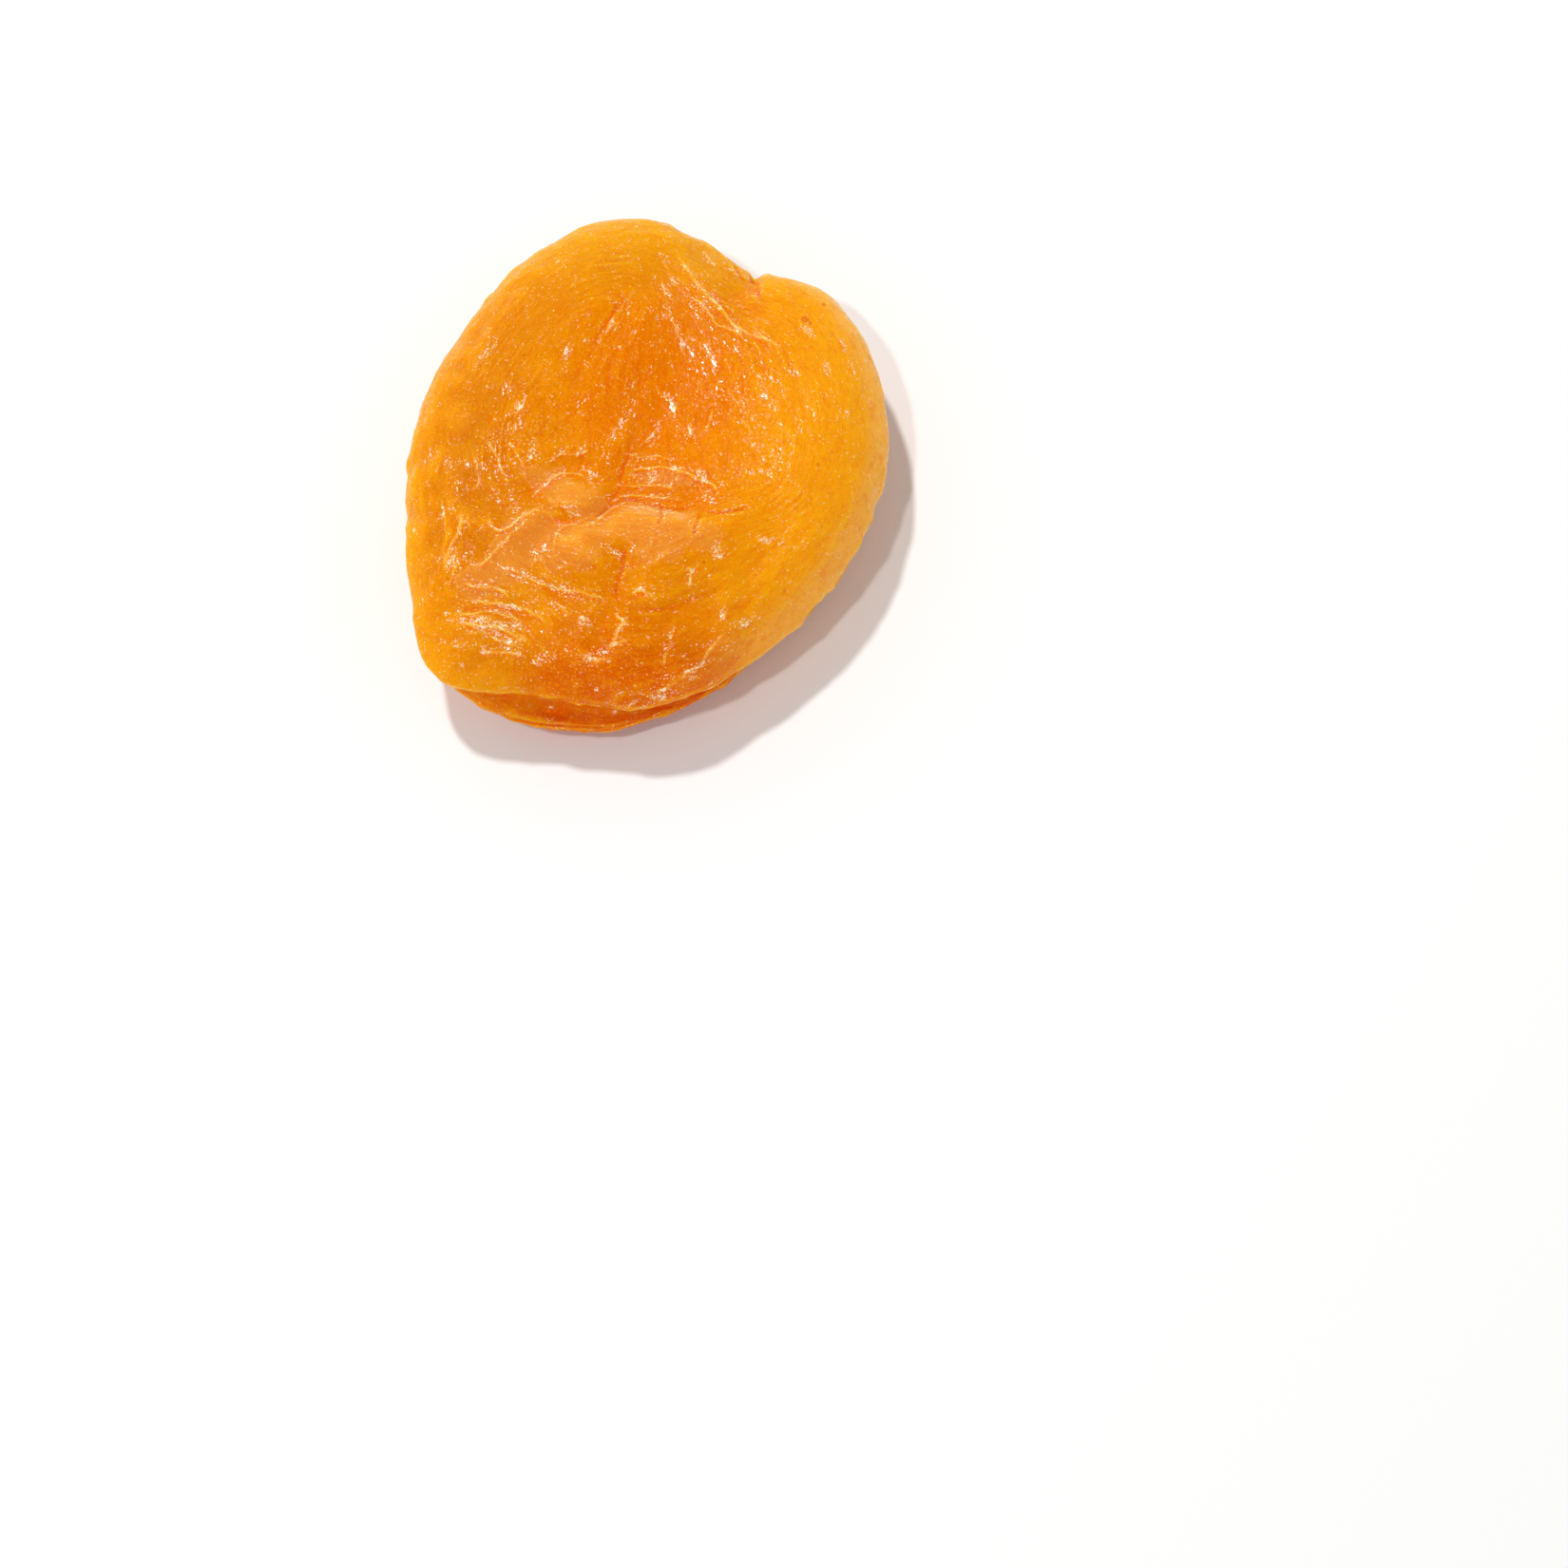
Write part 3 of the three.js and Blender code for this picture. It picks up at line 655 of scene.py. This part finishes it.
# a painted highlight along the top of each pinched fold, a painted shadow line beside it, and
# painted shade in each crease
beside, ridge = stored("off_ridge"), stored("ridge")
fold_top_highlight = (1 - (beside * beside).between(0.002, 0.012)) * ridge
painted_shadow_line = beside.between(0.06, 0.14) * (1 - beside.between(0.18, 0.36)) * ridge
off_cut = stored("off_cut")
crease_shade_line = (1 - (off_cut * off_cut).between(0.003, 0.03)) * stored("cut")
colour = tinted(colour, HOLLOW_PAINTED_SHADE, painted_shadow_line * 0.5)
colour = tinted(colour, SHADE_AND_GRAIN_RED, crease_shade_line * 0.4)
colour = tinted(colour, PALE_LINE_AND_HIGHLIGHT, fold_top_highlight * (0.45 + grain(0.4, 2.0).between(0.4, 0.6) * 0.5))

# a few brown freckles: the middle and radius of each, in millimetres
FRECKLES = [
    (12.4, 10.5, 0.3), (12.7, 10.2, 0.2), (13.9, 12.3, 0.17),
    (13.2, -2.4, 0.13), (-9.5, 7.2, 0.12), (4.4, -10.6, 0.14),
]
on_face = pz.between(6 * MM, 7 * MM)
for freckle_x, freckle_y, radius in FRECKLES:
    dx, dy = px - freckle_x * MM, py - freckle_y * MM
    square = (radius * MM) ** 2
    reach = (dx * dx + dy * dy + (grain(0.3) - 0.5) * square) * (1 / square)
    colour = tinted(colour, FRECKLE, (1 - reach).between(-0.6, 0.5) * on_face * 0.5)

# painted glints and a pale bloom of dried sugar, in fine specks: thin all over and close along the
# folds
flowing = stored("across") * MM
stretched = {"X": px * 0.25, "Y": py * 0.25, "Z": flowing}
along_wrinkles = place.node("ShaderNodeCombineXYZ", {}, stretched)
stretched = {"X": px * 0.5, "Y": py * 0.5, "Z": flowing}
shorter = place.node("ShaderNodeCombineXYZ", {}, stretched)
streaks = grain(0.5, 1.0, along_wrinkles).between(0.44, 0.58)
glinting = stored("glint_spots") * (0.2 + 0.8 * streaks)


def specks(size, amount, at=place):
    """A mask of small dots about that many millimetres apart, over that share of the skin."""
    dots = at.node("ShaderNodeTexVoronoi", {}, {"Vector": at, "Scale": 1 / (size * MM)})
    chance = at.node("ShaderNodeSeparateColor", {}, {"Color": Wire(dots.socket.node.outputs[1])})
    other = Wire(chance.socket.node.outputs[1])
    shown = (chance - (1 - amount)).between(0.0, 0.04) * (1 - dots.between(0.3, 0.55))
    return shown * (0.35 + 0.65 * other * other + glinting * 0.5)


clusters = grain(1.1, 3.0).between(0.52, 0.68)
face = pz.between(4 * MM, 8 * MM)
amount = clusters * (0.03 + face * 0.08) + glinting * 0.8 + crest.between(0.01, 0.06) * 0.08
threads = grain(0.3, 2.0, along_wrinkles)
colour = tinted(colour, SHADE_AND_GRAIN_RED, threads.between(0.5, 0.72) * 0.2)
colour = tinted(colour, PALE_AND_LIT_FLESH, (1 - threads).between(0.5, 0.7) * 0.2)
colour = tinted(colour, SHADE_AND_GRAIN_RED, grain(0.2, 2.0).between(0.52, 0.75) * 0.2)
strokes = (clusters * 0.25 + glinting * 0.35) * (0.3 + sunken * 0.7 + front * 0.5)
long_strokes = streaks * (0.02 + clusters * 0.06 + glinting * 0.3)
colour = tinted(colour, GRIT, specks(0.15, 0.3 + face * 0.25) * 0.6)
colour = tinted(colour, GLINT_AND_BLOOM, specks(0.13, amount + 0.025 + face * 0.025) * 0.9)
colour = tinted(colour, GLINT_AND_BLOOM, specks(0.2, amount * 0.5 - 0.03) * 0.9)
colour = tinted(colour, GLINT_AND_BLOOM, specks(0.12, strokes, along_wrinkles) * 0.85)
colour = tinted(colour, GLINT_AND_BLOOM, specks(0.22, long_strokes, shorter) * 0.85)
skin.node_tree.links.new(colour.socket, shader.inputs["Base Color"])

# the skin's grain: pores and threads that lie along the wrinkles, and a waxy gloss
GRAIN_SIZE = 0.16  # millimetres across one facet of the skin's fine grain
GRAIN_TILT = 0.36  # how far such facets tilt
GRAIN_HEIGHT = 0.07  # millimetres that the grain stands out
pebbles = grain(0.25, 2.0)
coarse = grain(0.6, 2.0)
uneven = threads * 0.8 + pebbles * 0.4 + coarse * 1.6 + fold_top_highlight * 1.5 - crease_shade_line
facets = {"Vector": place, "Scale": 1 / (GRAIN_SIZE * MM)}
facets = place.node("ShaderNodeTexVoronoi", {}, facets, 1)
slivers = {"Vector": along_wrinkles, "Scale": 1 / (GRAIN_SIZE * MM)}
slivers = place.node("ShaderNodeTexVoronoi", {}, slivers, 1)
facets = place.node("ShaderNodeVectorMath", {"operation": "ADD"}, {0: facets, 1: slivers})
tilt = {0: facets, 1: (GRAIN_TILT,) * 3, 2: (-GRAIN_TILT,) * 3}
tilt = place.node("ShaderNodeVectorMath", {"operation": "MULTIPLY_ADD"}, tilt)
rough_patches = 0.35 + grain(1.6, 2.0).between(0.42, 0.62) * 0.65
tilt = place.node("ShaderNodeVectorMath", {"operation": "SCALE"}, {0: tilt, "Scale": rough_patches})
smooth = place.node("ShaderNodeNewGeometry", {}, {}, 1)
tilted = place.node("ShaderNodeVectorMath", {"operation": "ADD"}, {0: smooth, 1: tilt})
tilted = place.node("ShaderNodeVectorMath", {"operation": "NORMALIZE"}, {0: tilted})
pushed = {"Strength": 1.0, "Distance": GRAIN_HEIGHT * MM, "Height": uneven, "Normal": tilted}
bump = place.node("ShaderNodeBump", {}, pushed)
skin.node_tree.links.new(bump.socket, shader.inputs["Normal"])
gloss = 0.15 - grain(1.4, 2.0).between(0.4, 0.7) * 0.03 - crest.between(0.0, 0.08) * 0.02
skin.node_tree.links.new(gloss.socket, shader.inputs["Roughness"])

# a thin film of syrup that has dried in specks, so that it glints only here and there
film = specks(0.14, 0.24 + glinting * 0.5 + clusters * 0.3)
film = film + specks(0.18, 0.12 + streaks * 0.15 + glinting * 0.4, shorter)
skin.node_tree.links.new(film.socket, shader.inputs["Coat Weight"])
shader.inputs["Coat Roughness"].default_value = 0.2
shader.inputs["Coat IOR"].default_value = 1.5

# light goes a few millimetres into the flesh, red the furthest
shader.inputs["Subsurface Weight"].default_value = 1.0
shader.inputs["Subsurface Radius"].default_value = (1.0, 0.45, 0.12)
shader.inputs["Subsurface Scale"].default_value = 3.2 * MM
shader.inputs["IOR"].default_value = 1.45
shader.inputs["Specular IOR Level"].default_value = 0.03

fruit.data.materials.clear()
fruit.data.materials.append(skin)
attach(fruit, "root")
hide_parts("apricot")

# The table: a wide sheet of plain white board, matt all over. The fruit lies loose on it, on the
# flat place of its underside.
TABLE_SIZE = 3.0
BOARD_WHITE = (0.93, 0.93, 0.925, 1)
bpy.ops.mesh.primitive_plane_add(size=TABLE_SIZE, location=(0, 0, 0))
table = bpy.context.object
table.name = "table"
board = bpy.data.materials.new("white_board")
board.use_nodes = True
board_shader = board.node_tree.nodes["Principled BSDF"]
board_shader.inputs["Base Color"].default_value = BOARD_WHITE
board_shader.inputs["Roughness"].default_value = 0.9
table.data.materials.append(board)
